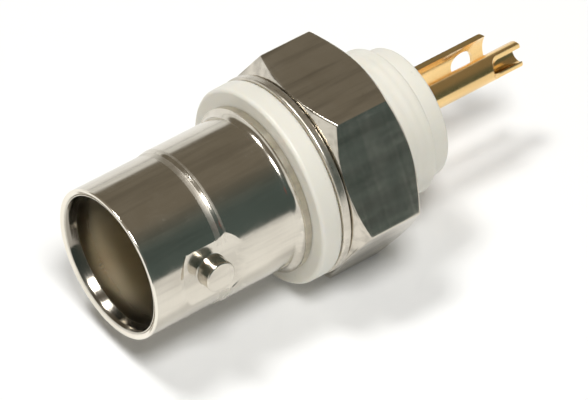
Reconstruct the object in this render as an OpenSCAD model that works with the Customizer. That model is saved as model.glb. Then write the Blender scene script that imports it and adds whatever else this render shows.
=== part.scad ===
// Insulated coaxial panel jack with a bayonet mouth and solder terminals.
// The axis runs along X: the mouth is at -X, the terminals are at +X. The origin lies on the axis,
// in the rear face of the bush's flange, where the panel seats. Angles round the axis are
// measured from +Y towards +Z. One flat of the nut faces -Z.

/* [Shell] */
// Distance from the mouth to the panel seat
mouth_to_seat = 12.4; // [12:0.1:13]
// Diameter of the barrel in front of the bayonet studs
barrel_d = 9.6; // [9.5:0.05:9.7]
// Diameter of the barrel behind the bayonet studs
barrel_rear_d = 9.8; // [9.75:0.05:9.95]
// Bore that takes the plug's outer contact
bore_d = 8.13; // [8.1:0.01:8.15]
// Wider bore just inside the mouth
mouth_d = 8.4; // [8.35:0.05:8.5]
// Depth of the bore behind the mouth
bore_depth = 8.4; // [8.3:0.05:8.5]
// Diameter of the spigot that carries the bush
spigot_d = 6.6; // [6.5:0.1:6.8]

/* [Bayonet] */
// Distance from the mouth to the middle of the studs
stud_x = 4.2; // [4.1:0.05:5.3]
// Diameter of a stud
stud_d = 1.96; // [1.9:0.02:2.06]
// Diameter over both studs
stud_span = 11; // [10.95:0.05:11.1]
// Direction of the first stud round the axis
stud_angle = 170; // [160:1:180]
// Diameter of the flat seat milled round a stud
seat_d = 4.8; // [4:0.1:5]
// Height of that seat above the axis
seat_h = 4.45; // [4.4:0.01:4.6]

/* [Bush and panel fixing] */
// Diameter of the bush's flange
flange_d = 12.7; // [12.5:0.1:13]
// Thickness of the bush's flange
flange_t = 1.5; // [1.3:0.1:1.8]
// Outside diameter of the bush's thread
thread_d = 9.5; // [9.4:0.1:9.6]
// Length of the threaded part of the bush
thread_len = 8.3; // [8:0.05:8.5]
// Diameter of the plain end of the bush
pilot_d = 8.4; // [8:0.1:8.5]
// Length of the bush behind the panel seat
bush_len = 9.65; // [9.4:0.05:10]
// Width of the nut over its flats
nut_af = 12.7; // [12.7:0.1:14]
// Thickness of the nut
nut_t = 4.95; // [4.5:0.05:5]
// Radial running clearance of the nut on the bush
nut_clearance = 0.05; // [0.03:0.01:0.08]
// Thickness of the washer
washer_t = 0.5; // [0.4:0.05:0.6]
// Gap left between the washer and the nut
nut_gap = 0.15; // [0.1:0.05:0.5]

/* [Terminals] */
// Diameter of the centre contact's rear pin
pin_d = 1.65; // [1.5:0.05:1.8]
// Length of the pin behind the bush
pin_reach = 8.7; // [8:0.1:9]
// Length of the milled opening of the solder cup
cup_open = 2.1; // [1.8:0.1:2.4]
// Length of the ground tab behind the bush
tab_reach = 7.4; // [7.2:0.1:7.8]
// Diameter of the hole in the ground tab
tab_hole_d = 1.7; // [1.5:0.1:1.9]

/* [Hidden] */
$fn = 96;
eps = 0.01;

mouth_x = -mouth_to_seat;
floor_x = mouth_x + bore_depth;          // floor of the plug's bore
flange_x = -flange_t;                    // front face of the bush's flange
bore_r = bore_d / 2;
barrel_r = barrel_d / 2;
barrel_rear_r = barrel_rear_d / 2;
spigot_r = spigot_d / 2;

// Web and rear chamber of the shell, which hold the insulators
web_t = 1.2;
web_x = floor_x + web_t;                 // rear face of the web
nub_r = 2.38;                            // nose of the front dielectric
chamber_r = 2.65;                        // rear chamber of the shell
spigot_end = bush_len - 1.1;             // where the ground terminal seats
lip_end = bush_len - 0.55;               // end of the rolled lip
lip_r = 2.95;                            // inner edge of the rolled lip
seat_fit = 0.02;                         // radial play of the pieces set in the shell

// Centre contact
dielectric_x = mouth_x + 3.1;            // front face of the dielectric
socket_x = dielectric_x + 0.25;          // front edge of the socket
socket_r = 1.08;
socket_bore_r = 0.69;
socket_bore_depth = 4.3;
slot_w = 0.22;
slot_len = 3.4;
collar_r = 1.35;
collar_x = -1.1;
collar_t = 0.5;
pin_r = pin_d / 2;
pin_end = bush_len + pin_reach;
cup_r = 0.55;
cup_depth = 3;
cup_flat = 0.3;                          // height of the milled flat over the axis
cutter_r = 1.4;
cup_angle = 150;                         // direction that the cup opens to

// Ground terminal
sheet_t = 0.3;
ring_r = 3.1;
ring_hole_r = 2.45;
tab_r = 2.15;                            // outside radius of the curved tab
tab_angle = -20;
tab_half = 50;                           // half the tab's angle round the axis
bend_r = 0.25;                           // inside radius of the bend
tab_end = bush_len + tab_reach;
tab_corner = 0.5;
tab_hole_x = tab_end - 1.65;

// Points of an arc about a centre, from angle a to angle b
function arc(centre, r, a, b, n = 5) =
    [for (i = [0 : n]) centre + r * [cos(a + (b - a) * i / n), sin(a + (b - a) * i / n)]];

// Turns what is drawn along Z to lie along X
module along_x() {
    rotate([0, 90, 0]) children();
}

// Turns what points along Y to the given angle round the axis
module at_angle(a) {
    rotate([a, 0, 0]) children();
}

// A body of revolution about X from points of [radius, x]
module turned(points) {
    along_x() rotate_extrude() polygon(points);
}

// One bayonet stud, standing along Y on its flat seat
module stud() {
    stud_r = stud_d / 2;
    top = stud_span / 2;
    edge = 0.12;
    flare = 0.1;                         // radius of the concave blend into the seat
    foot = seat_h - 0.3;
    profile = concat(
        [[0, foot]],
        [[stud_r + flare, foot]],
        arc([stud_r + flare, seat_h + flare], flare, 270, 180, 3),
        arc([stud_r - edge, top - edge], edge, 0, 90, 3),
        [[0, top]]);
    rotate([-90, 0, 0]) rotate_extrude() polygon(profile);
}

module shell() {
    rim = 0.16;                          // rounding of the mouth
    bead = 0.05;                         // height of the bead round the mouth
    bead_len = 0.45;
    lead = 0.15;                         // inside chamfer of the mouth
    mouth_r = mouth_d / 2;
    mouth_len = 2.6;
    taper_len = 0.4;
    step_x = mouth_x + stud_x + 0.5;     // start of the cone up to the rear barrel
    step_len = 0.85;
    collar = 0.4;                        // height of the ring in front of the flange
    collar_len = 0.45;
    blend_len = 0.5;                     // run-out of the barrel into that ring
    outside = concat(
        arc([barrel_r + bead - rim, mouth_x + rim], rim, -90, 0, 5),
        [[barrel_r + bead, mouth_x + bead_len]],
        [[barrel_r, mouth_x + bead_len + bead]],
        [[barrel_r, step_x]],
        [[barrel_rear_r, step_x + step_len]],
        [for (t = [0 : 0.2 : 1])
            [barrel_rear_r + collar * (1 - sqrt(1 - t * t)), flange_x - collar_len + blend_len * (t - 1)]],
        [[barrel_rear_r + collar, flange_x]],
        [[spigot_r, flange_x]],
        [[spigot_r, spigot_end]],
        arc([spigot_r - 0.2, lip_end - 0.2], 0.2, 0, 90, 4),
        [[lip_r, lip_end]],
        [[lip_r, spigot_end + sheet_t]],
        [[ring_r + seat_fit, spigot_end + sheet_t]],
        [[ring_r + seat_fit, spigot_end]]);
    inside = [
        [chamber_r, spigot_end],
        [chamber_r, web_x],
        [nub_r + seat_fit, web_x],
        [nub_r + seat_fit, floor_x],
        [bore_r, floor_x],
        [bore_r, mouth_x + mouth_len + taper_len],
        [mouth_r, mouth_x + mouth_len],
        [mouth_r, mouth_x + lead],
        [mouth_r + lead, mouth_x]];
    color("silver") {
        difference() {
            union() {
                difference() {
                    turned(concat(outside, inside));
                    for (side = [0, 180]) {
                        at_angle(stud_angle + side) translate([mouth_x + stud_x, seat_h, 0])
                            rotate([-90, 0, 0]) cylinder(d = seat_d, h = 1);
                    }
                }
                for (side = [0, 180]) {
                    at_angle(stud_angle + side) translate([mouth_x + stud_x, 0, 0]) stud();
                }
            }
            // keeps the bore clear under the studs
            translate([mouth_x + 1, 0, 0]) along_x() cylinder(r = bore_r, h = bore_depth - 1);
        }
    }
}

module front_dielectric() {
    shoulder_x = web_x + 1.3;
    edge = 0.2;
    fit_r = socket_r + seat_fit;
    color("wheat") turned(concat(
        [[fit_r + edge, dielectric_x]],
        arc([nub_r - edge, dielectric_x + edge], edge, -90, 0, 3),
        [[nub_r, web_x]],
        [[chamber_r - seat_fit, web_x]],
        [[chamber_r - seat_fit, shoulder_x]],
        [[fit_r, shoulder_x]],
        [[fit_r, dielectric_x + edge]]));
}

module rear_insulator() {
    front_x = web_x + 1.3;
    boss_r = 1.6;
    boss_end = bush_len - 0.4;
    fit_r = pin_r + seat_fit;
    color("ivory") turned([
        [socket_r + seat_fit, front_x],
        [chamber_r - seat_fit, front_x],
        [chamber_r - seat_fit, spigot_end],
        [boss_r, spigot_end],
        [boss_r, boss_end],
        [fit_r, boss_end],
        [fit_r, collar_x + collar_t + seat_fit],
        [collar_r + seat_fit, collar_x + collar_t + seat_fit],
        [collar_r + seat_fit, collar_x - seat_fit],
        [socket_r + seat_fit, collar_x - seat_fit]]);
}

// The four slots that part the socket into spring fingers
module socket_slots() {
    for (turn = [45, 135]) {
        at_angle(turn) translate([socket_x - eps, -socket_r - eps, -slot_w / 2])
            cube([slot_len + eps, 2 * (socket_r + eps), slot_w]);
    }
}

// What the cutter takes off the side of the solder cup, opening along Y
module cup_cut() {
    root = pin_end - cup_open;
    translate([root + cutter_r, cup_flat, -pin_d]) cube([cup_open, pin_d, 2 * pin_d]);
    translate([root + cutter_r, cup_flat + cutter_r, -pin_d]) cylinder(r = cutter_r, h = 2 * pin_d);
}

module centre_contact() {
    edge = 0.12;
    color("goldenrod") difference() {
        turned([
            [0, socket_x + socket_bore_depth],
            [socket_bore_r, socket_x + socket_bore_depth],
            [socket_bore_r, socket_x + edge],
            [socket_bore_r + edge, socket_x],
            [socket_r - edge, socket_x],
            [socket_r, socket_x + edge],
            [socket_r, collar_x],
            [collar_r, collar_x],
            [collar_r, collar_x + collar_t],
            [pin_r, collar_x + collar_t],
            [pin_r, pin_end - edge / 2],
            [pin_r - edge / 2, pin_end],
            [cup_r, pin_end],
            [cup_r, pin_end - cup_depth],
            [0, pin_end - cup_depth - cup_r / 2]]);
        socket_slots();
        at_angle(cup_angle) cup_cut();
    }
}

// The curved tongue with its bend, in the sector that the tab takes up
module tab_strip() {
    outer_bend = bend_r + sheet_t;
    inner_r = tab_r - sheet_t;
    seat = spigot_end;
    centre = [tab_r + bend_r, seat + outer_bend];
    along_x() rotate([0, 0, 90 - tab_half]) rotate_extrude(angle = 2 * tab_half)
        polygon(concat(
            [[ring_hole_r + 0.25, seat]],
            [[ring_hole_r + 0.25, seat + sheet_t]],
            arc(centre, bend_r, 270, 180, 4),
            [[tab_r, tab_end]],
            [[inner_r, tab_end]],
            arc(centre, outer_bend, 180, 270, 4)));
}

// What rounds off one corner of the tab's end, pushed out along Y
module corner_cut() {
    wide = tab_r * sin(tab_half);
    margin = 0.5;
    c = tab_corner;
    rotate([-90, 0, 0]) linear_extrude(height = tab_r + 1)
        polygon(concat(
            arc([tab_end - c, wide - c], c, 0, 90, 5),
            [[tab_end - c, wide + margin]],
            [[tab_end + margin, wide + margin]],
            [[tab_end + margin, wide - c]]));
}

module ground_terminal() {
    color("gold") difference() {
        union() {
            turned([
                [ring_hole_r, spigot_end],
                [ring_r, spigot_end],
                [ring_r, spigot_end + sheet_t],
                [ring_hole_r, spigot_end + sheet_t]]);
            at_angle(tab_angle) difference() {
                tab_strip();
                corner_cut();
                mirror([0, 0, 1]) corner_cut();
            }
        }
        at_angle(tab_angle) translate([tab_hole_x, 0, 0]) rotate([-90, 0, 0])
            cylinder(d = tab_hole_d, h = 2 * tab_r);
    }
}

module insulating_bush() {
    front_edge = 0.45;
    rear_edge = 0.2;
    dish = 0.15;                         // depth of the dished front face
    dish_r = 5.6;
    end_edge = 0.3;
    flange_r = flange_d / 2;
    thread_r = thread_d / 2;
    pilot_r = pilot_d / 2;
    fit_r = spigot_r + seat_fit;
    color("ghostwhite") turned(concat(
        [[fit_r, flange_x + eps]],
        [[barrel_rear_r + 0.4, flange_x + eps]],
        [[dish_r, flange_x + dish]],
        arc([flange_r - front_edge, flange_x + front_edge], front_edge, -90, 0, 6),
        arc([flange_r - rear_edge, -rear_edge], rear_edge, 0, 90, 3),
        [[thread_r, 0]],
        [[thread_r, thread_len - end_edge]],
        [[pilot_r, thread_len + 0.1]],
        arc([pilot_r - end_edge, bush_len - end_edge], end_edge, 0, 90, 4),
        [[fit_r, bush_len]]));
}

module washer() {
    hole_r = thread_d / 2 + 0.12;
    outer_r = flange_d / 2 - 0.06;
    edge = 0.08;
    color("lightgray") turned([
        [hole_r, 0],
        [outer_r - edge, 0],
        [outer_r, edge],
        [outer_r, washer_t - edge],
        [outer_r - edge, washer_t],
        [hole_r, washer_t]]);
}

module hex_nut() {
    front_x = washer_t + nut_gap;
    corner_r = nut_af / 2 / cos(30);
    face_r = nut_af / 2 - 0.1;           // circle left flat on each face
    bevel = (corner_r - face_r) * tan(32);
    bore = thread_d / 2 + nut_clearance;
    sink = 0.35;
    color("dimgray") difference() {
        intersection() {
            translate([front_x, 0, 0]) along_x() rotate([0, 0, 30])
                cylinder(r = corner_r, h = nut_t, $fn = 6);
            turned([
                [0, front_x],
                [face_r, front_x],
                [corner_r, front_x + bevel],
                [corner_r + 1, front_x + bevel],
                [corner_r + 1, front_x + nut_t - bevel],
                [corner_r, front_x + nut_t - bevel],
                [face_r, front_x + nut_t],
                [0, front_x + nut_t]]);
        }
        turned([
            [0, front_x - eps],
            [bore + sink + eps, front_x - eps],
            [bore, front_x + sink],
            [bore, front_x + nut_t - sink],
            [bore + sink + eps, front_x + nut_t + eps],
            [0, front_x + nut_t + eps]]);
    }
}

shell();
front_dielectric();
rear_insulator();
centre_contact();
ground_terminal();
insulating_bush();
washer();
hex_nut();
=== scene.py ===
"""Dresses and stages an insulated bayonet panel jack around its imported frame."""
import math

import bmesh
import bpy
import numpy as np
from mathutils import Matrix, Vector


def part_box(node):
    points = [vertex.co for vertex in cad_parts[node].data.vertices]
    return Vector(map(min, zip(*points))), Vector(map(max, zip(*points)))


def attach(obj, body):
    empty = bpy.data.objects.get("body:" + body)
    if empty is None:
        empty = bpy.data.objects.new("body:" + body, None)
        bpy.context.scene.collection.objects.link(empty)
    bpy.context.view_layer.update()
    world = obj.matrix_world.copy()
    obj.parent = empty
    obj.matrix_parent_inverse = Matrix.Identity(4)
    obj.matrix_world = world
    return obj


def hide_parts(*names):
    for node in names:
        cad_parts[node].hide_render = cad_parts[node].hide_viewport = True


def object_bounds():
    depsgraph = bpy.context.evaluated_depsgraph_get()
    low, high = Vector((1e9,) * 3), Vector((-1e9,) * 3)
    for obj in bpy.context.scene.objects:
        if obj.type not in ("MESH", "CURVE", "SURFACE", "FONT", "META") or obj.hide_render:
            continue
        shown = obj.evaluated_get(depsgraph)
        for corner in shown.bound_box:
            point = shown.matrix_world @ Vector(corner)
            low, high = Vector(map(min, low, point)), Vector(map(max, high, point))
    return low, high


bl_info = {
    "name": "Bayonet panel jack",
    "version": (1, 0, 0),
    "blender": (4, 5, 0),
    "location": "View3D > Sidebar > Panel jack",
    "description": "Builds the plated shell, bush, nut, washer and contacts, and stages them",
    "category": "Object",
}

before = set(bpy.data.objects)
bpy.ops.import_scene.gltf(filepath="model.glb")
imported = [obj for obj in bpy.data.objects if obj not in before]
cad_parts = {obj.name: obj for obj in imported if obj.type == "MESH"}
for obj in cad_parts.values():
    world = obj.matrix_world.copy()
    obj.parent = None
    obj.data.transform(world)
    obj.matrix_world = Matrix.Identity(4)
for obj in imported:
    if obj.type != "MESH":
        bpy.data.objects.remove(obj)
CAD_LOW, CAD_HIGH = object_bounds()

MM = 0.001
TAU = 2 * math.pi


def ends(node):
    """Where a CAD node starts and ends along the axis, in millimetres."""
    low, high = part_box(node)
    return low.x / MM, high.x / MM


def radius_of(node):
    """The radius of a round CAD node, from its box, in millimetres."""
    low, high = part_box(node)
    return max(high.y, -low.y, high.z) / MM


MOUTH_X = ends("shell")[0]
FLANGE_X = ends("insulating_bush")[0]
BUSH_END = ends("insulating_bush")[1]
FLANGE_R = radius_of("insulating_bush")
WASHER_R = radius_of("washer")
NUT_FRONT, NUT_REAR = ends("hex_nut")
NUT_FLAT = -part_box("hex_nut")[0].z / MM
PIN_END = ends("centre_contact")[1]


# ---------------------------------------------------------------- meshes

def to_plane(angle):
    """Unit vectors out of the axis and round it, at an angle from +Y towards +Z."""
    return (np.array([0, math.cos(angle), math.sin(angle)]),
            np.array([0, -math.sin(angle), math.cos(angle)]))


def on_axis(x, r, angle):
    """Points at a distance along the axis, a radius and an angle, each an array or a number."""
    x, r, angle = np.broadcast_arrays(x, r, angle)
    return np.stack([x, r * np.cos(angle), r * np.sin(angle)], axis=-1)


def softened(corners, steps=5, guard=0.02):
    """A profile from corners of (x, radius, rounding), with its corners rounded and guarded."""
    points = []
    count = len(corners)
    for i, (x, r, size) in enumerate(corners):
        here = np.array([x, r], float)
        back = np.array(corners[i - 1][:2], float) - here
        on = np.array(corners[(i + 1) % count][:2], float) - here
        if size <= 0:
            points.append(here)
            continue
        back_len, on_len = np.linalg.norm(back), np.linalg.norm(on)
        back, on = back / back_len, on / on_len
        half = math.acos(max(-1, min(1, float(back @ on)))) / 2
        reach = min(size / math.tan(half), 0.49 * back_len, 0.49 * on_len)
        size = reach * math.tan(half)
        middle = here + (back + on) / np.linalg.norm(back + on) * (size / math.sin(half))
        start, stop = here + back * reach, here + on * reach
        points.append(start + back * min(guard, 0.4 * (back_len - reach)))
        a, b = start - middle, stop - middle
        sweep = math.pi - 2 * half
        for k in range(steps + 1):
            t = k / steps
            points.append(middle + (a * math.sin((1 - t) * sweep) + b * math.sin(t * sweep))
                          / math.sin(sweep))
        points.append(stop + on * min(guard, 0.4 * (on_len - reach)))
    return np.array(points)


def grid_faces(rows, columns):
    """Quads over a grid of points that closes on itself both ways."""
    faces = []
    for i in range(rows):
        a, b = i * columns, (i + 1) % rows * columns
        for j in range(columns):
            k = (j + 1) % columns
            faces.append((a + j, a + k, b + k, b + j))
    return faces


def mesh_object(name, points, faces):
    """An object from points and faces, linked to the scene, its closed forms facing outward."""
    mesh = bpy.data.meshes.new(name)
    mesh.from_pydata([tuple(p) for p in points], [], faces)
    mesh.validate()
    mesh.update()
    made = bpy.data.objects.new(name, mesh)
    bpy.context.scene.collection.objects.link(made)
    work = bmesh.new()
    work.from_mesh(mesh)
    bmesh.ops.remove_doubles(work, verts=work.verts, dist=1e-8)
    bmesh.ops.recalc_face_normals(work, faces=work.faces)
    work.to_mesh(mesh)
    work.free()
    return made


def new_piece(name, form, body, material, node, sharp):
    """Makes a piece from points in millimetres and faces, and rides it in place of a CAD node."""
    points, faces = form
    piece = mesh_object(name, np.asarray(points, float) * MM, faces)
    mesh = piece.data
    mesh.polygons.foreach_set("use_smooth", [True] * len(mesh.polygons))
    mesh.set_sharp_from_angle(angle=math.radians(sharp))
    mesh.materials.append(material)
    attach(piece, body)
    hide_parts(node)


def lathe(profile, columns):
    """Points and faces of a ring-like body turned about the axis from a closed profile."""
    angles = np.arange(columns) * TAU / columns
    points = on_axis(profile[:, :1], profile[:, 1:], angles[None, :]).reshape(-1, 3)
    return points, grid_faces(len(profile), columns)


def soften_edges(piece, width, limit):
    """Rounds the edges that are sharper than a limit in degrees."""
    soft = piece.modifiers.new("Soft edges", "BEVEL")
    soft.width = width
    soft.segments = 2
    soft.angle_limit = math.radians(limit)


def carved(body, cutters, edge):
    """A closed form with others cut from it and its edges softened. Each is points and faces."""
    made = [mesh_object("carving", *form) for form in (body, *cutters)]
    for cutter in made[1:]:
        cut = made[0].modifiers.new("cut", "BOOLEAN")
        cut.operation = "DIFFERENCE"
        cut.object = cutter
    soften_edges(made[0], edge, 50)
    done = made[0].evaluated_get(bpy.context.evaluated_depsgraph_get()).to_mesh()
    points = [tuple(v.co) for v in done.vertices]
    faces = [tuple(f.vertices) for f in done.polygons]
    for piece in made:
        mesh = piece.data
        bpy.data.objects.remove(piece)
        bpy.data.meshes.remove(mesh)
    return points, faces


def pushed_out(outline, length, angle):
    """A prism from an outline of (x, out), its length across, turned about the axis."""
    out, across = to_plane(angle)
    count = len(outline)
    points = [np.array([x, 0, 0]) + out * r + across * (side * length / 2)
              for side in (-1, 1) for x, r in outline]
    faces = [tuple(range(count)), tuple(range(2 * count - 1, count - 1, -1))]
    faces += [(k, (k + 1) % count, count + (k + 1) % count, count + k) for k in range(count)]
    return points, faces


def smooth_step(x, start, length):
    """Rises from 0 to 1 over a length, without a corner."""
    t = np.clip((np.asarray(x, float) - start) / length, 0, 1)
    return t * t * (3 - 2 * t)


# ---------------------------------------------------------------- node tools

class Tree:
    """Short names for making and linking nodes in one tree."""

    def __init__(self, tree):
        self.tree = tree

    def add(self, kind, settings=None, **inputs):
        """A node with its settings, and a value or a link for each named input."""
        made = self.tree.nodes.new(kind)
        for key, value in (settings or {}).items():
            setattr(made, key, value)
        for key, value in inputs.items():
            self.feed(made.inputs[key.replace("_", " ")], value)
        return made

    def feed(self, socket, value):
        """Gives a socket a link or a value."""
        if isinstance(value, bpy.types.NodeSocket):
            self.tree.links.new(value, socket)
        else:
            socket.default_value = value

    def math(self, operation, a, b=0.0):
        """One sum on one or two inputs."""
        made = self.add("ShaderNodeMath", {"operation": operation})
        self.feed(made.inputs[0], a)
        self.feed(made.inputs[1], b)
        return made.outputs[0]

    def mix(self, factor, a, b):
        """A mix of two colours."""
        made = self.add("ShaderNodeMix", {"data_type": "RGBA"})
        self.feed(made.inputs["Factor"], factor)
        self.feed(made.inputs[6], a)
        self.feed(made.inputs[7], b)
        return made.outputs[2]

    def ramp(self, value, low, high, to_low=0.0, to_high=1.0):
        """A smooth rise from one value to another while the input goes from low to high."""
        made = self.add("ShaderNodeMapRange", {"interpolation_type": "SMOOTHSTEP"})
        for socket, given in zip(made.inputs[:5], (value, low, high, to_low, to_high)):
            self.feed(socket, given)
        return made.outputs["Result"]

    def noise(self, where, scale, detail=3.0, rough=0.55):
        """Noise at a place, about 0.5 on average."""
        made = self.add("ShaderNodeTexNoise", Vector=where, Scale=scale, Detail=detail,
                        Roughness=rough)
        return made.outputs["Fac"]

    def stretch(self, where, x, y, z):
        """A place scaled by its own factor along each axis."""
        made = self.add("ShaderNodeVectorMath", {"operation": "MULTIPLY"})
        self.feed(made.inputs[0], where)
        self.feed(made.inputs[1], (x, y, z))
        return made.outputs[0]


def effect(name, inputs, outputs):
    """A new node group with named float inputs and outputs. Gives its Tree and its two ends."""
    group = bpy.data.node_groups.new(name, "ShaderNodeTree")
    for label, value in inputs.items():
        socket = group.interface.new_socket(name=label, in_out="INPUT",
                                            socket_type="NodeSocketFloat")
        socket.default_value = value
    for label, kind in outputs.items():
        group.interface.new_socket(name=label, in_out="OUTPUT", socket_type=kind)
    tree = Tree(group)
    return group, tree, tree.add("NodeGroupInput"), tree.add("NodeGroupOutput")


def object_place(tree):
    """The place on the object, in metres."""
    return tree.add("ShaderNodeTexCoord").outputs["Object"]


def turning_marks():
    """Fine rings round the axis and drawn streaks along it, on a turned or moulded surface."""
    group, t, ins, outs = effect(
        "Turning marks", {"Rings per metre": 12000.0, "Wobble": 0.3},
        {"Height": "NodeSocketFloat", "Mask": "NodeSocketFloat", "Streaks": "NodeSocketFloat"})
    place = object_place(t)
    drawn = t.noise(t.stretch(place, 90.0, 950.0, 950.0), 1.0, 3.0, 0.6)
    t.feed(outs.inputs["Streaks"], t.ramp(drawn, 0.42, 0.68))
    along = t.add("ShaderNodeSeparateXYZ", Vector=place).outputs["X"]
    broad = t.noise(place, 260.0, 2.0)
    shifted = t.math("ADD", t.math("MULTIPLY", along, ins.outputs["Rings per metre"]),
                     t.math("MULTIPLY", broad, ins.outputs["Wobble"]))
    line = t.add("ShaderNodeCombineXYZ", X=shifted)
    rings = t.noise(line.outputs[0], 1.0, 4.0, 0.7)
    t.feed(outs.inputs["Height"], rings)
    t.feed(outs.inputs["Mask"], t.ramp(rings, 0.35, 0.7))
    return group


def handling_marks():
    """Hair scratches and rubbed patches that handling leaves on metal."""
    group, t, ins, outs = effect(
        "Handling marks", {"Size": 900.0, "Amount": 0.5, "Lengthwise": 0.15},
        {"Scratches": "NodeSocketFloat", "Rubbed": "NodeSocketFloat"})
    place = object_place(t)
    split = t.add("ShaderNodeSeparateXYZ", Vector=place)
    slow = t.math("MULTIPLY", split.outputs["X"], ins.outputs["Lengthwise"])
    line = t.add("ShaderNodeCombineXYZ", X=slow, Y=split.outputs["Y"], Z=split.outputs["Z"])
    fine = t.noise(line.outputs[0], t.math("MULTIPLY", ins.outputs["Size"], 6.0), 3.0, 0.6)
    ridge = t.math("ABSOLUTE", t.math("SUBTRACT", fine, 0.5))
    scratch = t.math("SUBTRACT", 1.0, t.ramp(ridge, 0.0, 0.035))
    where = t.ramp(t.noise(place, ins.outputs["Size"], 2.0), 0.45, 0.68)
    t.feed(outs.inputs["Scratches"],
           t.math("MULTIPLY", t.math("MULTIPLY", scratch, where), ins.outputs["Amount"]))
    t.feed(outs.inputs["Rubbed"], t.ramp(t.noise(place, 620.0, 4.0), 0.35, 0.7))
    return group


def edge_wear():
    """Where edges stand proud and rub bright, and where concave corners are made darker."""
    group, t, ins, outs = effect(
        "Edge wear", {"Low": 0.52, "High": 0.62, "Breakup": 0.3},
        {"Edges": "NodeSocketFloat", "Corners": "NodeSocketFloat"})
    bend = t.add("ShaderNodeNewGeometry").outputs["Pointiness"]
    rough = t.noise(object_place(t), 2600.0, 3.0)
    shift = t.math("MULTIPLY", t.math("SUBTRACT", rough, 0.5),
                   t.math("MULTIPLY", ins.outputs["Breakup"], 0.1))
    bent = t.math("ADD", bend, shift)
    t.feed(outs.inputs["Edges"], t.ramp(bent, ins.outputs["Low"], ins.outputs["High"]))
    t.feed(outs.inputs["Corners"], t.ramp(bent, 0.48, 0.40))
    return group


def tone_drift():
    """Slow changes of tone over a surface, with a few small specks."""
    group, t, ins, outs = effect(
        "Tone drift", {"Size": 180.0, "Speck size": 2400.0, "Specks": 0.5},
        {"Tone": "NodeSocketFloat", "Speck": "NodeSocketFloat"})
    place = object_place(t)
    t.feed(outs.inputs["Tone"], t.ramp(t.noise(place, ins.outputs["Size"], 4.0), 0.3, 0.7))
    cells = t.add("ShaderNodeTexVoronoi", Vector=place, Scale=ins.outputs["Speck size"])
    near = t.math("SUBTRACT", 1.0, t.ramp(cells.outputs["Distance"], 0.05, 0.22))
    chosen = t.ramp(t.noise(place, 900.0, 2.0), 0.58, 0.66)
    t.feed(outs.inputs["Speck"],
           t.math("MULTIPLY", t.math("MULTIPLY", near, chosen), ins.outputs["Specks"]))
    return group


EFFECT_MAKERS = {"turning": turning_marks, "handling": handling_marks, "wear": edge_wear,
                 "tone": tone_drift}
EFFECTS = {}


def place_effect(tree, name, **values):
    """Puts a shared effect in a material with its own values."""
    if name not in EFFECTS:
        EFFECTS[name] = EFFECT_MAKERS[name]()
    made = tree.add("ShaderNodeGroup", {"node_tree": EFFECTS[name]})
    for key, value in values.items():
        made.inputs[key.replace("_", " ")].default_value = value
    return made.outputs


def new_material(name):
    """An empty material with a Principled shader. Gives it, its Tree and the shader."""
    material = bpy.data.materials.new(name)
    material.use_nodes = True
    material.node_tree.nodes.clear()
    tree = Tree(material.node_tree)
    shader = tree.add("ShaderNodeBsdfPrincipled")
    output = tree.add("ShaderNodeOutputMaterial")
    tree.feed(output.inputs["Surface"], shader.outputs[0])
    return material, tree, shader


def tone(colour, factor=1.0):
    """A colour of four values, made lighter or darker."""
    return tuple(c * factor for c in colour[:3]) + (1.0,)


def metal(name, colour, stain, rough, rings, ring_height, scratches, wear=0.25, lengthwise=0.15,
          streaks=0.4, zones=None):
    """Plated metal with turning marks, hair scratches, stained patches, rubbed edges and darker
    concave corners; with zones, also painted shade and a painted highlight.
    """
    material, t, shader = new_material(name)
    marks = place_effect(t, "turning", Rings_per_metre=rings, Wobble=0.4)
    hand = place_effect(t, "handling", Size=700.0, Amount=scratches, Lengthwise=lengthwise)
    edge = place_effect(t, "wear", Low=0.53, High=0.60, Breakup=0.4)
    drift = place_effect(t, "tone", Size=210.0, Speck_size=2200.0, Specks=0.25)
    base = t.mix(t.math("MULTIPLY", drift["Tone"], 0.5), tone(colour), tone(stain))
    base = t.mix(t.math("MULTIPLY", marks["Mask"], 0.2), base, tone(colour, 0.82))
    base = t.mix(t.math("MULTIPLY", marks["Streaks"], streaks), base, tone(stain, 0.62))
    base = t.mix(t.math("MULTIPLY", edge["Edges"], wear), base, tone(colour, 1.12))
    # Darker in concave corners.
    base = t.mix(t.math("MULTIPLY", edge["Corners"], 0.6), base, tone(stain, 0.45))
    base = t.mix(drift["Speck"], base, tone(stain, 0.6))
    roughness = t.math("ADD", rough, t.math("MULTIPLY", marks["Mask"], 0.05))
    if zones:
        dull, painted_bore_shade, deep, rim = zones(t)
        # Painted highlight: lightens the mouth's front face.
        base = t.mix(rim, base, tone(colour, 1.25))
        # Painted shade: darkens the bore just inside the mouth.
        base = t.mix(painted_bore_shade, base, tone(stain, 0.5))
        # Deeper in the bore the plain colour comes back, rougher.
        base = t.mix(deep, base, tone(colour))
        roughness = t.math("ADD", roughness, t.math("MULTIPLY", dull, 0.17))
        roughness = t.math("ADD", roughness, t.math("MULTIPLY", deep, 0.2))
    t.feed(shader.inputs["Base Color"], base)
    shader.inputs["Metallic"].default_value = 1.0
    roughness = t.math("ADD", roughness, t.math("MULTIPLY", hand["Rubbed"], 0.05))
    roughness = t.math("ADD", roughness, t.math("MULTIPLY", hand["Scratches"], 0.15))
    t.feed(shader.inputs["Roughness"], roughness)
    height = t.math("ADD", t.math("MULTIPLY", marks["Height"], ring_height),
                    t.math("MULTIPLY", hand["Scratches"], -0.25))
    bump = t.add("ShaderNodeBump", Strength=0.35, Distance=4e-6, Height=height)
    t.feed(shader.inputs["Normal"], bump.outputs[0])
    return material


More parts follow.
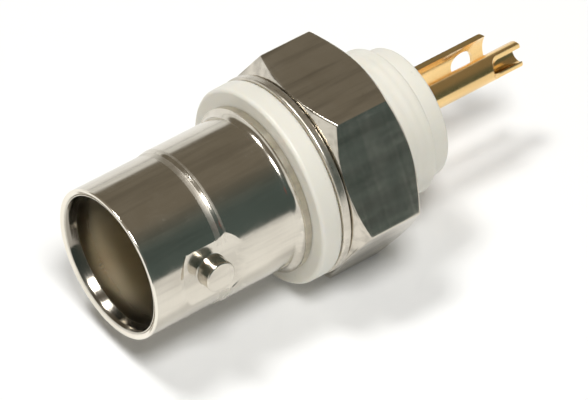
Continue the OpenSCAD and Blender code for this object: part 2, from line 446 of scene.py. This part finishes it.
def shell_zones(t):
    """Where the shell is dull on its cone but for a bright line; painted shade in the bore just
    inside the mouth, plain and rougher deeper in; a painted highlight on the mouth's face.
    """
    split = t.add("ShaderNodeSeparateXYZ", Vector=object_place(t))
    along = split.outputs["X"]
    out = t.math("SQRT", t.math("ADD", t.math("POWER", split.outputs["Y"], 2.0),
                                t.math("POWER", split.outputs["Z"], 2.0)))

    def rise(value, low, high):
        return t.ramp(value, low * MM, high * MM)

    def band(start, stop, fade):
        return t.math("MULTIPLY", rise(along, start, start + fade), rise(along, stop, stop - fade))

    outside, inside = rise(out, 4.6, 4.7), rise(out, 4.5, 4.4)
    line = band(STEP_X + 0.38, STEP_X + 0.68, 0.06)
    cone = t.math("MULTIPLY", band(STEP_X, STEP_X + STEP_LEN, 0.08), outside)
    cone = t.math("MULTIPLY", cone, t.math("SUBTRACT", 1.0, line))
    # Painted shade in the bore, from just inside the mouth.
    painted_bore_shade = t.math("MULTIPLY", inside, rise(along, MOUTH_X + 0.05, MOUTH_X + 0.2))
    deep = t.math("MULTIPLY", inside, rise(along, MOUTH_X + 0.9, MOUTH_X + 2.0))
    # Painted highlight on the mouth's front face.
    rim = t.math("MULTIPLY", rise(along, MOUTH_X + 0.16, MOUTH_X + 0.08), rise(out, 4.35, 4.42))
    return cone, painted_bore_shade, deep, rim


def plastic(name, colour, shade, rough, depth):
    """Moulded plastic that lets light in a little, with moulding marks and specks."""
    material, t, shader = new_material(name)
    marks = place_effect(t, "turning", Rings_per_metre=5000.0, Wobble=0.8)
    drift = place_effect(t, "tone", Size=150.0, Speck_size=1800.0, Specks=0.35)
    edge = place_effect(t, "wear", Low=0.54, High=0.64, Breakup=0.3)
    base = t.mix(t.math("MULTIPLY", drift["Tone"], 0.6), tone(colour), tone(shade))
    base = t.mix(t.math("MULTIPLY", edge["Edges"], 0.3), base, tone(colour, 1.06))
    # Darker in concave corners.
    base = t.mix(t.math("MULTIPLY", edge["Corners"], 0.5), base, tone(shade, 0.75))
    base = t.mix(t.math("MULTIPLY", drift["Speck"], 0.6), base, tone(shade, 0.6))
    t.feed(shader.inputs["Base Color"], base)
    shader.inputs["Subsurface Weight"].default_value = 0.35
    shader.inputs["Subsurface Radius"].default_value = (1.0, 0.85, 0.65)
    shader.inputs["Subsurface Scale"].default_value = depth
    t.feed(shader.inputs["Roughness"],
           t.math("ADD", rough, t.math("MULTIPLY", marks["Mask"], 0.12)))
    height = t.math("ADD", t.math("MULTIPLY", marks["Height"], 0.5),
                    t.math("MULTIPLY", drift["Tone"], 0.6))
    bump = t.add("ShaderNodeBump", Strength=0.3, Distance=8e-6, Height=height)
    t.feed(shader.inputs["Normal"], bump.outputs[0])
    return material


# ---------------------------------------------------------------- settings

def size_prop(name, value, text):
    """A length in metres with its name and description."""
    return bpy.props.FloatProperty(name=name, description=text, default=value, min=0.0,
                                   precision=6, unit="LENGTH")


def angle_prop(name, degrees, text):
    """An angle, given in degrees, with its name and description."""
    return bpy.props.FloatProperty(name=name, description=text, default=math.radians(degrees),
                                   subtype="ANGLE")


def power_prop(name, watts, text):
    """A lamp's power with its name and description."""
    return bpy.props.FloatProperty(name=name, description=text, default=watts,
                                   subtype="POWER")


def colour_prop(name, value, text):
    """A colour with its name and description."""
    return bpy.props.FloatVectorProperty(name=name, description=text, default=value, size=3,
                                         min=0.0, max=1.0, subtype="COLOR")


class JackSizes(bpy.types.PropertyGroup):
    """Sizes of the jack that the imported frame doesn't give."""
    barrel: size_prop("Front barrel", 9.6 * MM, "Diameter in front of the studs")
    rear_barrel: size_prop("Rear barrel", 9.8 * MM, "Diameter behind the studs")
    bore: size_prop("Bore", 8.13 * MM, "Bore that takes the plug")
    mouth: size_prop("Mouth", 8.4 * MM, "Wider bore inside the mouth")
    stud: size_prop("Stud", 1.96 * MM, "Diameter of a bayonet stud")
    stud_place: size_prop("Stud place", 4.2 * MM, "From the mouth to the middle of the studs")
    seat: size_prop("Stud seat", 4.8 * MM, "Diameter of the flat seat round a stud")
    seat_height: size_prop("Seat height", 4.45 * MM, "From the axis to that seat")
    thread: size_prop("Thread", 9.5 * MM, "Outside diameter of the bush's thread")
    pitch: size_prop("Pitch", 0.794 * MM, "Pitch of the thread")
    thread_depth: size_prop("Thread depth", 0.03 * MM, "Depth of the thread")
    cup_open: size_prop("Cup opening", 2.65 * MM, "Length of the solder cup that is cut open")
    cup_angle: angle_prop("Cup angle", 160, "Way the solder cup opens, from +Y towards +Z")
    stud_angle: angle_prop("Stud angle", 170, "Way to the first stud, from +Y towards +Z")


class JackFinish(bpy.types.PropertyGroup):
    """Colours of the jack's metals and plastics."""
    nickel: colour_prop("Nickel", (0.70, 0.66, 0.58), "Plating of the shell")
    nickel_stain: colour_prop("Nickel stain", (0.60, 0.55, 0.47), "Duller patches of the plating")
    nut: colour_prop("Nut", (0.68, 0.635, 0.555), "Plating of the nut")
    nut_stain: colour_prop("Nut stain", (0.58, 0.53, 0.45), "Duller patches of the nut")
    gold: colour_prop("Gold", (0.95, 0.68, 0.32), "Plating of the terminals")
    gold_stain: colour_prop("Gold stain", (0.86, 0.55, 0.22), "Deeper patches of the gold")
    bush: colour_prop("Bush", (0.845, 0.82, 0.735), "Plastic of the bush")
    bush_shade: colour_prop("Bush shade", (0.785, 0.76, 0.67), "Greyer patches of the bush")
    core: colour_prop("Core", (0.95, 0.84, 0.60), "Plastic round the socket")
    core_shade: colour_prop("Core shade", (0.86, 0.72, 0.46), "Darker patches of that plastic")


class StageSettings(bpy.types.PropertyGroup):
    """The camera, the floor and the light."""
    turn: angle_prop("Turn", -38.92, "Camera's angle round the object")
    rise: angle_prop("Rise", 44.83, "Camera's angle above the floor")
    roll: angle_prop("Roll", -2.13, "Camera's tilt about its own axis")
    distance: size_prop("Distance", 0.27375, "From the camera to the panel seat")
    lens: bpy.props.FloatProperty(name="Lens", description="Focal length", default=284.1,
                                  subtype="DISTANCE_CAMERA")
    floor: colour_prop("Floor", (0.92, 0.92, 0.91), "Colour of the floor")
    room: colour_prop("Room", (0.20, 0.175, 0.135), "Room behind and above that metal shows")
    cool: colour_prop("Cool room", (0.085, 0.112, 0.105), "Room in front that metal shows")
    key: power_prop("Key light", 4.2, "Power of the soft box behind")
    fill: power_prop("Fill light", 6.4, "Power of the one in front")


# ---------------------------------------------------------------- shell

PATCH_CELLS = 28         # cells from a stud's middle to the edge of its patch
PATCH_REACH = 2.9        # half the patch's length along the axis, in mm
PATCH_WIDTH = 2.7        # half its width across the axis, in mm, as is all below
STUD_TOP = 5.5           # from the axis to a stud's top
STEP_X = MOUTH_X + 4.7   # start of the dull cone between the two barrels
STEP_LEN = 0.85
KINK = 0.28              # share of the cone's rise that comes over its bright line
KINK_X = STEP_X + 0.43
KINK_LEN = 0.18
COLLAR_RISE = 0.4        # how far the barrel flares out to its collar at the flange
COLLAR_RUN = 0.5         # length of that flare
COLLAR_X = FLANGE_X - 0.45 - COLLAR_RUN
RIM = 0.12               # rounding of the mouth's outer edge
BORE_DEPTH = 8.4         # from the mouth to the bore's floor
WEB = 1.2                # thickness of that floor
WEB_R = 2.4              # hole in it
CASE_R = 2.65            # bore behind it, round the rear insulator
SPIGOT_R = 3.3           # outside of the tube through the bush
RING_X = BUSH_END - 1.1  # seat of the ground terminal's ring
RING_T = 0.3
RING_R = 3.12
LIP_X = BUSH_END - 0.55  # end of the tube, closed over the ring
LIP_R = 2.95


def stud_rings(radius, seat):
    """Radii and heights over a stud, from its middle down to its foot on the seat."""
    edge, flare = 0.12, 0.1
    flat = radius - edge
    rings = [(flat * k / 7, STUD_TOP) for k in range(7)] + [(flat - 0.01, STUD_TOP)]
    for a in np.radians([0, 22, 45, 68, 90]):
        rings.append((flat + edge * math.sin(a), STUD_TOP - edge * (1 - math.cos(a))))
    rings += [(radius, STUD_TOP - edge - 0.02), (radius, seat + flare + 0.02)]
    for a in np.radians([90, 60, 30, 0]):
        rings.append((radius + flare * (1 - math.sin(a)), seat + flare * (1 - math.cos(a))))
    return rings


class ShellForm:
    """The shell's outside and the flat seats milled into it, in millimetres."""

    def __init__(self, sizes):
        self.barrel = sizes.barrel / 2 / MM
        self.rear = sizes.rear_barrel / 2 / MM
        self.seat_r = sizes.seat / 2 / MM
        self.seat_h = sizes.seat_height / MM
        self.stud_x = MOUTH_X + sizes.stud_place / MM
        self.rings = stud_rings(sizes.stud / 2 / MM, self.seat_h)
        self.half_turn = math.asin(PATCH_WIDTH / self.barrel)

    def surface(self, x):
        """The turned outside's radius."""
        x = np.asarray(x, float)
        cone = ((1 - KINK) * smooth_step(x, STEP_X, STEP_LEN)
                + KINK * smooth_step(x, KINK_X, KINK_LEN))
        t = np.clip((x - COLLAR_X) / COLLAR_RUN, 0, 1)
        return (self.barrel + (self.rear - self.barrel) * cone
                + COLLAR_RISE * (1 - np.sqrt(np.maximum(0, 1 - t * t))))

    def height_at(self, r, angle):
        """Square of the outside's height over the axis, at a place round a stud's middle."""
        return self.surface(self.stud_x + r * math.cos(angle)) ** 2 - (r * math.sin(angle)) ** 2

    def seat_edge(self, angle):
        """From a stud's middle to its seat's edge, in a direction, and that edge's height."""
        low, high = 1.2, self.seat_r
        for _ in range(26):
            r = (low + high) / 2
            low, high = (r, high) if self.height_at(r, angle) > self.seat_h ** 2 else (low, r)
        return high, math.sqrt(self.height_at(high, angle)) - self.seat_h

    def patch_point(self, i, j, middle):
        """A point of the patch round a stud: on the stud, on its seat or on the outside."""
        k = max(abs(i), abs(j))
        angle = 0.0
        if abs(i) >= abs(j) and k:
            angle = math.pi / 4 * j / abs(i)
            angle = angle if i > 0 else math.pi - angle
        elif k:
            angle = math.pi / 2 - math.pi / 4 * i / abs(j)
            angle = angle if j > 0 else -angle
        reach, rise = self.seat_edge(angle)
        last = len(self.rings) - 1
        if k <= last + 3:
            r, height = self.rings[min(k, last)]
            if k > last:
                share = (0.5, 0.975, 1.0)[k - last - 1]
                r, height = r + (reach - 1.4 * rise - r) * share, self.seat_h
            out, round_it = to_plane(middle)
            return (np.array([self.stud_x + r * math.cos(angle), 0, 0]) + out * height
                    + round_it * (r * math.sin(angle)))
        share = ((k - last - 4) / (PATCH_CELLS - last - 4)) ** 1.5
        u, v = reach * math.cos(angle), reach * math.sin(angle)
        turn = math.asin(v / float(self.surface(self.stud_x + u)))
        u = u * (1 - share) + PATCH_REACH * i / k * share
        turn = turn * (1 - share) + self.half_turn * j / k * share
        return on_axis(self.stud_x + u, float(self.surface(self.stud_x + u)), middle + turn)


def shell_inside(form, bore, mouth):
    """The rest of the shell's profile: rear face, spigot, lip, stepped bore, mouth and rim."""
    floor_x = MOUTH_X + BORE_DEPTH
    web_x = floor_x + WEB
    inside = softened([
        (FLANGE_X, form.surface(FLANGE_X), 0.05), (FLANGE_X, SPIGOT_R, 0),
        (RING_X, SPIGOT_R, 0), (RING_X, RING_R, 0), (RING_X + RING_T, RING_R, 0),
        (RING_X + RING_T, SPIGOT_R, 0), (LIP_X, SPIGOT_R, 0.2), (LIP_X, LIP_R, 0.12),
        (RING_X, LIP_R, 0), (RING_X, CASE_R, 0), (web_x, CASE_R, 0), (web_x, WEB_R, 0),
        (floor_x, WEB_R, 0.05), (floor_x, bore, 0.12), (MOUTH_X + 2.2, bore, 2.0),
        (MOUTH_X + 0.8, mouth - 0.06, 0.5), (MOUTH_X + 0.3, mouth + 0.08, 0.9),
        (MOUTH_X, mouth + 0.22, 0.04)], 6)[1:]
    rim = [(MOUTH_X + RIM - RIM * math.sin(a), form.barrel - RIM + RIM * math.cos(a))
           for a in np.radians([90, 75, 60, 45, 30, 15])]
    return np.concatenate([inside, np.array(rim)])


def shell_mesh(sizes):
    """The whole shell: turned outside with both studs on flat seats, stepped bore, rolled lip."""
    form = ShellForm(sizes)
    cells, half = PATCH_CELLS, form.half_turn
    over = np.arange(-cells, cells + 1) / cells * half
    between = np.linspace(half, math.pi - half, 66)[1:-1]
    turns = np.concatenate([over, between, math.pi + over, math.pi + between])
    turns = turns + sizes.stud_angle
    front = np.concatenate([MOUTH_X + RIM + np.array([0.0, 0.03]),
                            np.linspace(MOUTH_X + 0.3, form.stud_x - PATCH_REACH, 8)[:-1]])
    patch = form.stud_x + np.linspace(-PATCH_REACH, PATCH_REACH, 2 * cells + 1)
    plain = np.linspace(form.stud_x + PATCH_REACH, COLLAR_X, 10)[1:-1]
    flare = COLLAR_X + COLLAR_RUN * np.array([0, 0.1, 0.25, 0.4, 0.55, 0.68, 0.78, 0.86, 0.92,
                                              0.96, 0.985, 1.0])
    rows_x = np.concatenate([front, patch, plain, flare])
    outer = on_axis(rows_x[:, None], form.surface(rows_x)[:, None], turns[None, :])
    row = len(front) + cells
    for side in range(2):
        column = side * (len(over) + len(between)) + cells
        middle = sizes.stud_angle + side * math.pi
        for i in range(1 - cells, cells):
            for j in range(1 - cells, cells):
                outer[row + i, column + j] = form.patch_point(i, j, middle)
    others = shell_inside(form, sizes.bore / 2 / MM, sizes.mouth / 2 / MM)
    closing = on_axis(others[:, :1], others[:, 1:], turns[None, :])
    grid = np.concatenate([outer, closing])
    return grid.reshape(-1, 3), grid_faces(len(grid), len(turns))


# ---------------------------------------------------------------- bush, washer and nut

BUSH_BORE = 3.32         # radii and lengths in mm
PILOT_R = 4.2            # plain end of the bush behind its thread
PILOT_LEN = 1.35
DISH_R = 5.36            # shallow dish in the flange's face
DISH = 0.02
WASHER_BORE = 4.87
CUTS = 12                # rows to each turn of a thread


def thread_wave(x, angle, pitch):
    """Height of a right-hand thread's rounded crests, from 0 in the grooves to 1."""
    return 0.5 + 0.5 * np.cos(TAU * (x / pitch - angle / TAU))


def bush_mesh(sizes):
    """The bush: dished flange, shallow moulded thread, run-out and plain end."""
    columns = 256
    angles = np.arange(columns) * TAU / columns
    crest, pitch = sizes.thread / 2 / MM, sizes.pitch / MM
    depth = sizes.thread_depth / MM
    thread_end = BUSH_END - PILOT_LEN
    front = softened([
        (FLANGE_X, BUSH_BORE, 0), (FLANGE_X + DISH, DISH_R, 0.05),
        (FLANGE_X, FLANGE_R - 0.02, 0.24), (0, FLANGE_R, 0.3), (0, crest, 0.05)])[:-1]
    rows = [on_axis(x, r, angles) for x, r in front]
    for x in np.arange(0.06, thread_end - 0.3, pitch / CUTS):
        fade = smooth_step(x, 0.1, 0.5) * (1 - smooth_step(x, thread_end - 0.9, 0.6))
        rows.append(on_axis(x, crest - depth * fade * (1 - thread_wave(x, angles, pitch)),
                            angles))
    back = softened([
        (thread_end - 0.3, crest, 0), (thread_end - 0.05, crest - 0.06, 0.25),
        (thread_end + 0.1, PILOT_R + 0.02, 0.08), (BUSH_END - 0.5, PILOT_R, 0),
        (BUSH_END, PILOT_R, 0.42), (BUSH_END, BUSH_BORE, 0.08),
        (BUSH_END - 0.8, BUSH_BORE, 0)], 6)
    rows += [on_axis(x, r, angles) for x, r in back]
    rows.append(on_axis(FLANGE_X + 0.3, BUSH_BORE, angles))
    grid = np.stack(rows)
    return grid.reshape(-1, 3), grid_faces(len(grid), columns)


def washer_mesh():
    """The thin washer, with its edges broken."""
    start, stop = ends("washer")
    stop, outer = stop + 0.06, WASHER_R + 0.1
    return lathe(softened([(start, WASHER_BORE, 0.05), (start, outer, 0.16),
                           (stop, outer, 0.1), (stop, WASHER_BORE, 0.05)]), 224)


def nut_outline():
    """Angles and radii round a hexagon with rounded corners, one flat towards -Z."""
    rounding, flat_cells, corner_cells = 0.16, 14, 6
    corner = (NUT_FLAT - rounding) / math.cos(math.pi / 6)
    points = []
    for side in range(6):
        turn = side * math.pi / 3
        middle = corner * np.array([math.cos(turn), math.sin(turn)])
        for k in range(corner_cells + 1):
            a = turn - math.pi / 6 + math.pi / 3 * k / corner_cells
            points.append(middle + rounding * np.array([math.cos(a), math.sin(a)]))
        out = turn + math.pi / 6
        after = corner * np.array([math.cos(turn + math.pi / 3), math.sin(turn + math.pi / 3)])
        a = middle + rounding * np.array([math.cos(out), math.sin(out)])
        b = after + rounding * np.array([math.cos(out), math.sin(out)])
        for t in [0.02] + [k / flat_cells for k in range(1, flat_cells)] + [0.98]:
            points.append(a + (b - a) * t)
    points = np.array(points)
    return np.arctan2(points[:, 1], points[:, 0]), np.hypot(points[:, 0], points[:, 1])


def nut_mesh(sizes):
    """The nut: hexagon with both faces bevelled round, countersunk and threaded bore."""
    angles, reach = nut_outline()
    face_r = NUT_FLAT - 0.1
    bevel = np.maximum(0, reach - face_r) * math.tan(math.radians(32))
    bore, pitch = sizes.thread / 2 / MM + 0.05, sizes.pitch / MM
    depth = sizes.thread_depth / MM
    sink, soft = 0.4, np.minimum(0.11, 0.6 * bevel)
    first_turn, last_turn = NUT_FRONT + sink, NUT_REAR - sink

    def face_rows(face, inward):
        """Rows from the countersink out over a face and its bevel to the flats."""
        depths_radii = [(0.0, bore + sink), (0.0, bore + sink + 0.05),
                        (0.0, (bore + face_r) / 2), (0.0, face_r - 0.04), (0.008, face_r)]
        depths_radii += [(bevel * t, face_r + (reach - face_r) * t) for t in (0.08, 0.3, 0.6, 0.85)]
        depths_radii += [(bevel + soft * down, reach - soft * back)
                         for down, back in ((-0.5, 0.8), (0.0, 0.26), (0.5, 0.06), (1.0, 0.0))]
        return [on_axis(face + inward * np.asarray(x), r, angles) for x, r in depths_radii]

    rows = face_rows(NUT_FRONT, 1)
    middle = (NUT_FRONT + NUT_REAR) / 2
    eighth = (NUT_REAR - NUT_FRONT) / 8
    rows += [on_axis(middle + eighth * t, reach, angles) for t in (-1, 0, 1)]
    rows += face_rows(NUT_REAR, -1)[::-1]
    rows += [on_axis(NUT_REAR - 0.12, bore + sink - 0.12, angles),
             on_axis(last_turn + 0.03, bore + 0.03, angles)]
    for x in np.arange(last_turn, first_turn, -pitch / CUTS):
        fade = smooth_step(x, first_turn, 0.3) * (1 - smooth_step(x, last_turn - 0.3, 0.3))
        rows.append(on_axis(x, bore - depth * fade * (1 - thread_wave(x, angles, pitch)), angles))
    rows += [on_axis(first_turn - 0.03, bore + 0.03, angles),
             on_axis(NUT_FRONT + 0.12, bore + sink - 0.12, angles)]
    grid = np.stack(rows)
    return grid.reshape(-1, 3), grid_faces(len(grid), len(angles))


# ---------------------------------------------------------------- centre contact

SOCKET_X = MOUTH_X + 3.35
SOCKET_BORE = 0.69       # radii and lengths in mm
SOCKET_R = 1.08
SOCKET_DEPTH = 4.3
SLOT_END = SOCKET_X + 3.4
SLOT_WIDTH = 0.22
KEEPER = (-1.1, -0.6)    # where the collar that holds the contact starts and ends
KEEPER_R = 1.35
PIN_R = 0.825
CUP_R = 0.55
CUP_DEPTH = 3.4
CUP_FLAT = 0.3           # from the axis up to the flat that the cup's cut leaves
CUP_TOOL = 1.0           # radius of the tool that cuts it
ON_AXIS = 0.0005         # a radius that stands for none


def contact_mesh(sizes):
    """The centre contact: slotted socket, retaining collar, pin and its open solder cup."""
    keeper_start, keeper_end = KEEPER
    profile = softened([
        (SOCKET_X + SOCKET_DEPTH, ON_AXIS, 0), (SOCKET_X + SOCKET_DEPTH, SOCKET_BORE, 0),
        (SOCKET_X, SOCKET_BORE, 0.12), (SOCKET_X, SOCKET_R, 0.12),
        (keeper_start, SOCKET_R, 0), (keeper_start, KEEPER_R, 0.05),
        (keeper_end, KEEPER_R, 0.05), (keeper_end, PIN_R, 0),
        (PIN_END, PIN_R, 0.1), (PIN_END, CUP_R, 0.05),
        (PIN_END - CUP_DEPTH, CUP_R, 0), (PIN_END - CUP_DEPTH - 0.3, ON_AXIS, 0)], 3, 0.0)
    start, past, high = PIN_END - sizes.cup_open / MM, PIN_END + 1, 3
    curve = [(start + CUP_TOOL * (1 - math.sin(a)), CUP_FLAT + CUP_TOOL * (1 - math.cos(a)))
             for a in np.radians(np.arange(0, 91, 9))]
    cutters = [pushed_out([(past, CUP_FLAT), *curve, (start, high), (past, high)], 3,
                          sizes.cup_angle)]
    front = SOCKET_X - 1
    slot = [(front, -1.5), (SLOT_END, -1.5), (SLOT_END, 1.5), (front, 1.5)]
    cutters += [pushed_out(slot, SLOT_WIDTH, math.radians(turn)) for turn in (45, 135)]
    return carved(lathe(profile, 96), cutters, 0.05)


# ---------------------------------------------------------------- operators

class JACK_OT_shell(bpy.types.Operator):
    """Builds the plated shell with its bayonet studs"""
    bl_idname = "jack.shell"
    bl_label = "Shell"

    def execute(self, context):
        finish = context.scene.jack_finish
        # Its high wear is partly rubbed-bright edges and partly a painted highlight that lightens
        # the mouth's rim.
        plating = metal("Bright nickel", finish.nickel, finish.nickel_stain, rough=0.10,
                        rings=9000.0, ring_height=0.5, scratches=0.4, wear=0.5,
                        zones=shell_zones)
        new_piece("plated_shell", shell_mesh(context.scene.jack_sizes), "connector",
                  plating, "shell", 42)
        return {"FINISHED"}


class JACK_OT_bush(bpy.types.Operator):
    """Builds the moulded bush with its flange and thread"""
    bl_idname = "jack.bush"
    bl_label = "Bush"

    def execute(self, context):
        finish = context.scene.jack_finish
        moulding = plastic("Ivory moulding", finish.bush, finish.bush_shade, rough=0.34,
                           depth=0.4 * MM)
        new_piece("moulded_bush", bush_mesh(context.scene.jack_sizes), "connector",
                  moulding, "insulating_bush", 50)
        return {"FINISHED"}


class JACK_OT_fixings(bpy.types.Operator):
    """Builds the hex nut and its washer"""
    bl_idname = "jack.fixings"
    bl_label = "Nut and washer"

    def execute(self, context):
        finish = context.scene.jack_finish
        plating = metal("Dull nickel", finish.nut, finish.nut_stain, rough=0.14, rings=4000.0,
                        ring_height=0.15, scratches=0.08, wear=0.3, lengthwise=0.04,
                        streaks=0.6)
        new_piece("plated_nut", nut_mesh(context.scene.jack_sizes), "nut",
                  plating, "hex_nut", 42)
        thin = metal("Washer nickel", finish.nut, finish.nut_stain, rough=0.24, rings=9000.0,
                     ring_height=0.3, scratches=0.5)
        new_piece("thin_washer", washer_mesh(), "washer", thin, "washer", 42)
        return {"FINISHED"}


def dress_node(name, material):
    """Gives a carried CAD node a better finish."""
    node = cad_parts[name]
    node.data.materials.clear()
    node.data.materials.append(material)


class JACK_OT_contacts(bpy.types.Operator):
    """Builds the centre contact and finishes the ground terminal in gold"""
    bl_idname = "jack.contacts"
    bl_label = "Contacts"

    def execute(self, context):
        finish = context.scene.jack_finish
        gold = metal("Gold plate", finish.gold, finish.gold_stain, rough=0.16, rings=7000.0,
                     ring_height=0.4, scratches=0.4)
        new_piece("plated_contact", contact_mesh(context.scene.jack_sizes), "connector",
                  gold, "centre_contact", 35)
        dress_node("ground_terminal", gold)
        soften_edges(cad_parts["ground_terminal"], 0.07 * MM, 45)
        return {"FINISHED"}


class JACK_OT_insulators(bpy.types.Operator):
    """Finishes the insulators inside the shell"""
    bl_idname = "jack.insulators"
    bl_label = "Insulators"

    def execute(self, context):
        finish = context.scene.jack_finish
        dress_node("front_dielectric", plastic("Tan core", finish.core, finish.core_shade,
                                               rough=0.45, depth=0.2 * MM))
        dress_node("rear_insulator", plastic("Pale core", finish.bush, finish.bush_shade,
                                             rough=0.45, depth=0.3 * MM))
        return {"FINISHED"}


# ---------------------------------------------------------------- stage

ROOM_WHITE = (1.0, 1.0, 1.0, 1.0)
BACKDROP = (0.93, 0.93, 0.90, 1.0)
RED_SPOT = (0.34, 0.09, 0.07, 1.0)    # something reddish in the room, seen only in metal
RED_WAY = (0.164, -0.835, 0.522)      # the way to it
ROOM_LIGHT = 0.42        # share of the room's light that dull surfaces get
TARGET = Vector((-0.2 * MM, 0, 0))    # the point that the framing is measured from
ASIDE, DOWN = -1.113 * MM, -1.268 * MM    # where it stands from the middle of the view


def area_light(name, direction, size, power):
    """A soft square lamp a metre away in a direction from the object, turned to it."""
    data = bpy.data.lights.new(name, "AREA")
    data.shape = "SQUARE"
    data.size = size
    data.energy = power
    lamp = bpy.data.objects.new(name, data)
    bpy.context.scene.collection.objects.link(lamp)
    way = Vector(direction).normalized()
    lamp.location = way
    lamp.rotation_mode = "QUATERNION"
    lamp.rotation_quaternion = way.to_track_quat("Z", "Y")
    lamp.visible_camera = False


def floor_material(colour):
    """A pale floor that reads white and keeps the object's shadow."""
    material, t, shader = new_material("Pale floor")
    grain = t.noise(object_place(t), 1500.0, 3.0)
    t.feed(shader.inputs["Base Color"],
           t.mix(t.math("MULTIPLY", grain, 0.04), tone(colour), tone(colour, 0.9)))
    shader.inputs["Roughness"].default_value = 0.9
    shader.inputs["Specular IOR Level"].default_value = 0.1
    path = t.add("ShaderNodeLightPath")
    seen = t.math("MAXIMUM", path.outputs["Is Camera Ray"],
                  t.math("MAXIMUM", path.outputs["Is Glossy Ray"],
                         path.outputs["Is Transmission Ray"]))
    glow = t.add("ShaderNodeEmission", Color=(1.0, 1.0, 0.99, 1.0),
                 Strength=t.math("MULTIPLY", seen, 0.06))
    both = t.add("ShaderNodeAddShader")
    t.feed(both.inputs[0], shader.outputs[0])
    t.feed(both.inputs[1], glow.outputs[0])
    output = next(n for n in t.tree.nodes if n.type == "OUTPUT_MATERIAL")
    t.feed(output.inputs["Surface"], both.outputs[0])
    return material


def build_world(room, cool):
    """White behind the object, and for metal a dim room with a light backdrop round it."""
    world = bpy.data.worlds.new("Room")
    bpy.context.scene.world = world
    world.use_nodes = True
    world.node_tree.nodes.clear()
    t = Tree(world.node_tree)
    way = t.add("ShaderNodeTexCoord").outputs["Generated"]
    split = t.add("ShaderNodeSeparateXYZ", Vector=way)
    along, across, up = split.outputs["X"], split.outputs["Y"], split.outputs["Z"]
    shade = t.mix(t.ramp(across, -0.1, -0.75), tone(room), tone(cool))
    backdrop = t.math("MULTIPLY", t.ramp(across, -0.05, 0.25), t.ramp(up, 0.27, 0.18))
    mouth_side = t.math("MULTIPLY", t.ramp(along, -0.25, -0.6), t.ramp(up, 0.50, 0.22))
    mouth_side = t.math("MULTIPLY", mouth_side, t.ramp(across, -0.6, -0.45))
    below = t.ramp(up, 0.01, -0.01)
    light = t.math("MAXIMUM", t.math("MAXIMUM", backdrop, mouth_side), below)
    shade = t.mix(light, shade, BACKDROP)
    away = t.add("ShaderNodeVectorMath", {"operation": "DISTANCE"})
    t.feed(away.inputs[0], way)
    t.feed(away.inputs[1], RED_WAY)
    shade = t.mix(t.ramp(away.outputs["Value"], 0.09, 0.06), shade, RED_SPOT)
    path = t.add("ShaderNodeLightPath")
    seen = t.math("MAXIMUM", path.outputs["Is Camera Ray"], path.outputs["Is Transmission Ray"])
    shown = t.math("MAXIMUM", seen, path.outputs["Is Glossy Ray"])
    glow = t.add("ShaderNodeBackground", Color=t.mix(seen, shade, ROOM_WHITE),
                 Strength=t.ramp(shown, 0.0, 1.0, ROOM_LIGHT, 1.0))
    output = t.add("ShaderNodeOutputWorld")
    t.feed(output.inputs["Surface"], glow.outputs[0])


def new_camera(stage):
    """The camera, looking down at the object and set aside a little to frame it."""
    ca, sa = math.cos(stage.turn), math.sin(stage.turn)
    ce, se = math.cos(stage.rise), math.sin(stage.rise)
    cr, sr = math.cos(stage.roll), math.sin(stage.roll)
    forward = Vector((-sa * ce, ca * ce, -se))
    level = Vector((ca, sa, 0))
    steep = forward.cross(level)
    right, down = level * cr + steep * sr, steep * cr - level * sr
    data = bpy.data.cameras.new("Camera")
    data.lens = stage.lens
    data.sensor_width = 36.0
    data.clip_start = 0.01
    data.clip_end = 20.0
    camera = bpy.data.objects.new("Camera", data)
    bpy.context.scene.collection.objects.link(camera)
    turn = Matrix((right, -down, -forward)).transposed()
    place = TARGET - (right * ASIDE + down * DOWN) - forward * stage.distance
    camera.matrix_world = Matrix.Translation(place) @ turn.to_4x4()
    return camera


def lay_floor(colour):
    """A wide floor just under the object."""
    half, level = 3.0, CAD_LOW.z
    corners = [(-half, -half), (half, -half), (half, half), (-half, half)]
    mesh = bpy.data.meshes.new("Floor")
    mesh.from_pydata([(x, y, level) for x, y in corners], [], [(0, 1, 2, 3)])
    mesh.materials.append(floor_material(colour))
    floor = bpy.data.objects.new("Floor", mesh)
    bpy.context.scene.collection.objects.link(floor)


class JACK_OT_stage(bpy.types.Operator):
    """Sets the camera, the pale floor, the room and the soft lights"""
    bl_idname = "jack.stage"
    bl_label = "Stage"

    def execute(self, context):
        scene, stage = context.scene, context.scene.jack_stage
        scene.view_settings.view_transform = "Standard"
        build_world(stage.room, stage.cool)
        scene.camera = new_camera(stage)
        lay_floor(stage.floor)
        area_light("Key", (-0.16, 0.29, 0.945), 0.22, stage.key)
        area_light("Fill", (-0.16, -0.36, 0.92), 0.3, stage.fill)
        return {"FINISHED"}


class JACK_PT_panel(bpy.types.Panel):
    """Lists the steps that build the jack"""
    bl_idname = "JACK_PT_panel"
    bl_label = "Panel jack"
    bl_space_type = "VIEW_3D"
    bl_region_type = "UI"
    bl_category = "Panel jack"

    def draw(self, context):
        for step in STEPS:
            self.layout.operator(step.bl_idname)


STEPS = (JACK_OT_stage, JACK_OT_shell, JACK_OT_bush, JACK_OT_fixings, JACK_OT_contacts,
         JACK_OT_insulators)
GROUPS = {"jack_sizes": JackSizes, "jack_finish": JackFinish, "jack_stage": StageSettings}


def register():
    """Registers the settings, the steps and the panel."""
    for kind in (*GROUPS.values(), *STEPS, JACK_PT_panel):
        bpy.utils.register_class(kind)
    for name, kind in GROUPS.items():
        setattr(bpy.types.Scene, name, bpy.props.PointerProperty(type=kind))


def unregister():
    """Takes back what register() did."""
    for name in GROUPS:
        delattr(bpy.types.Scene, name)
    for kind in (JACK_PT_panel, *reversed(STEPS), *GROUPS.values()):
        bpy.utils.unregister_class(kind)


def main():
    register()
    for step in STEPS:
        area, name = step.bl_idname.split(".")
        getattr(getattr(bpy.ops, area), name)()


if __name__ == "__main__":
    main()
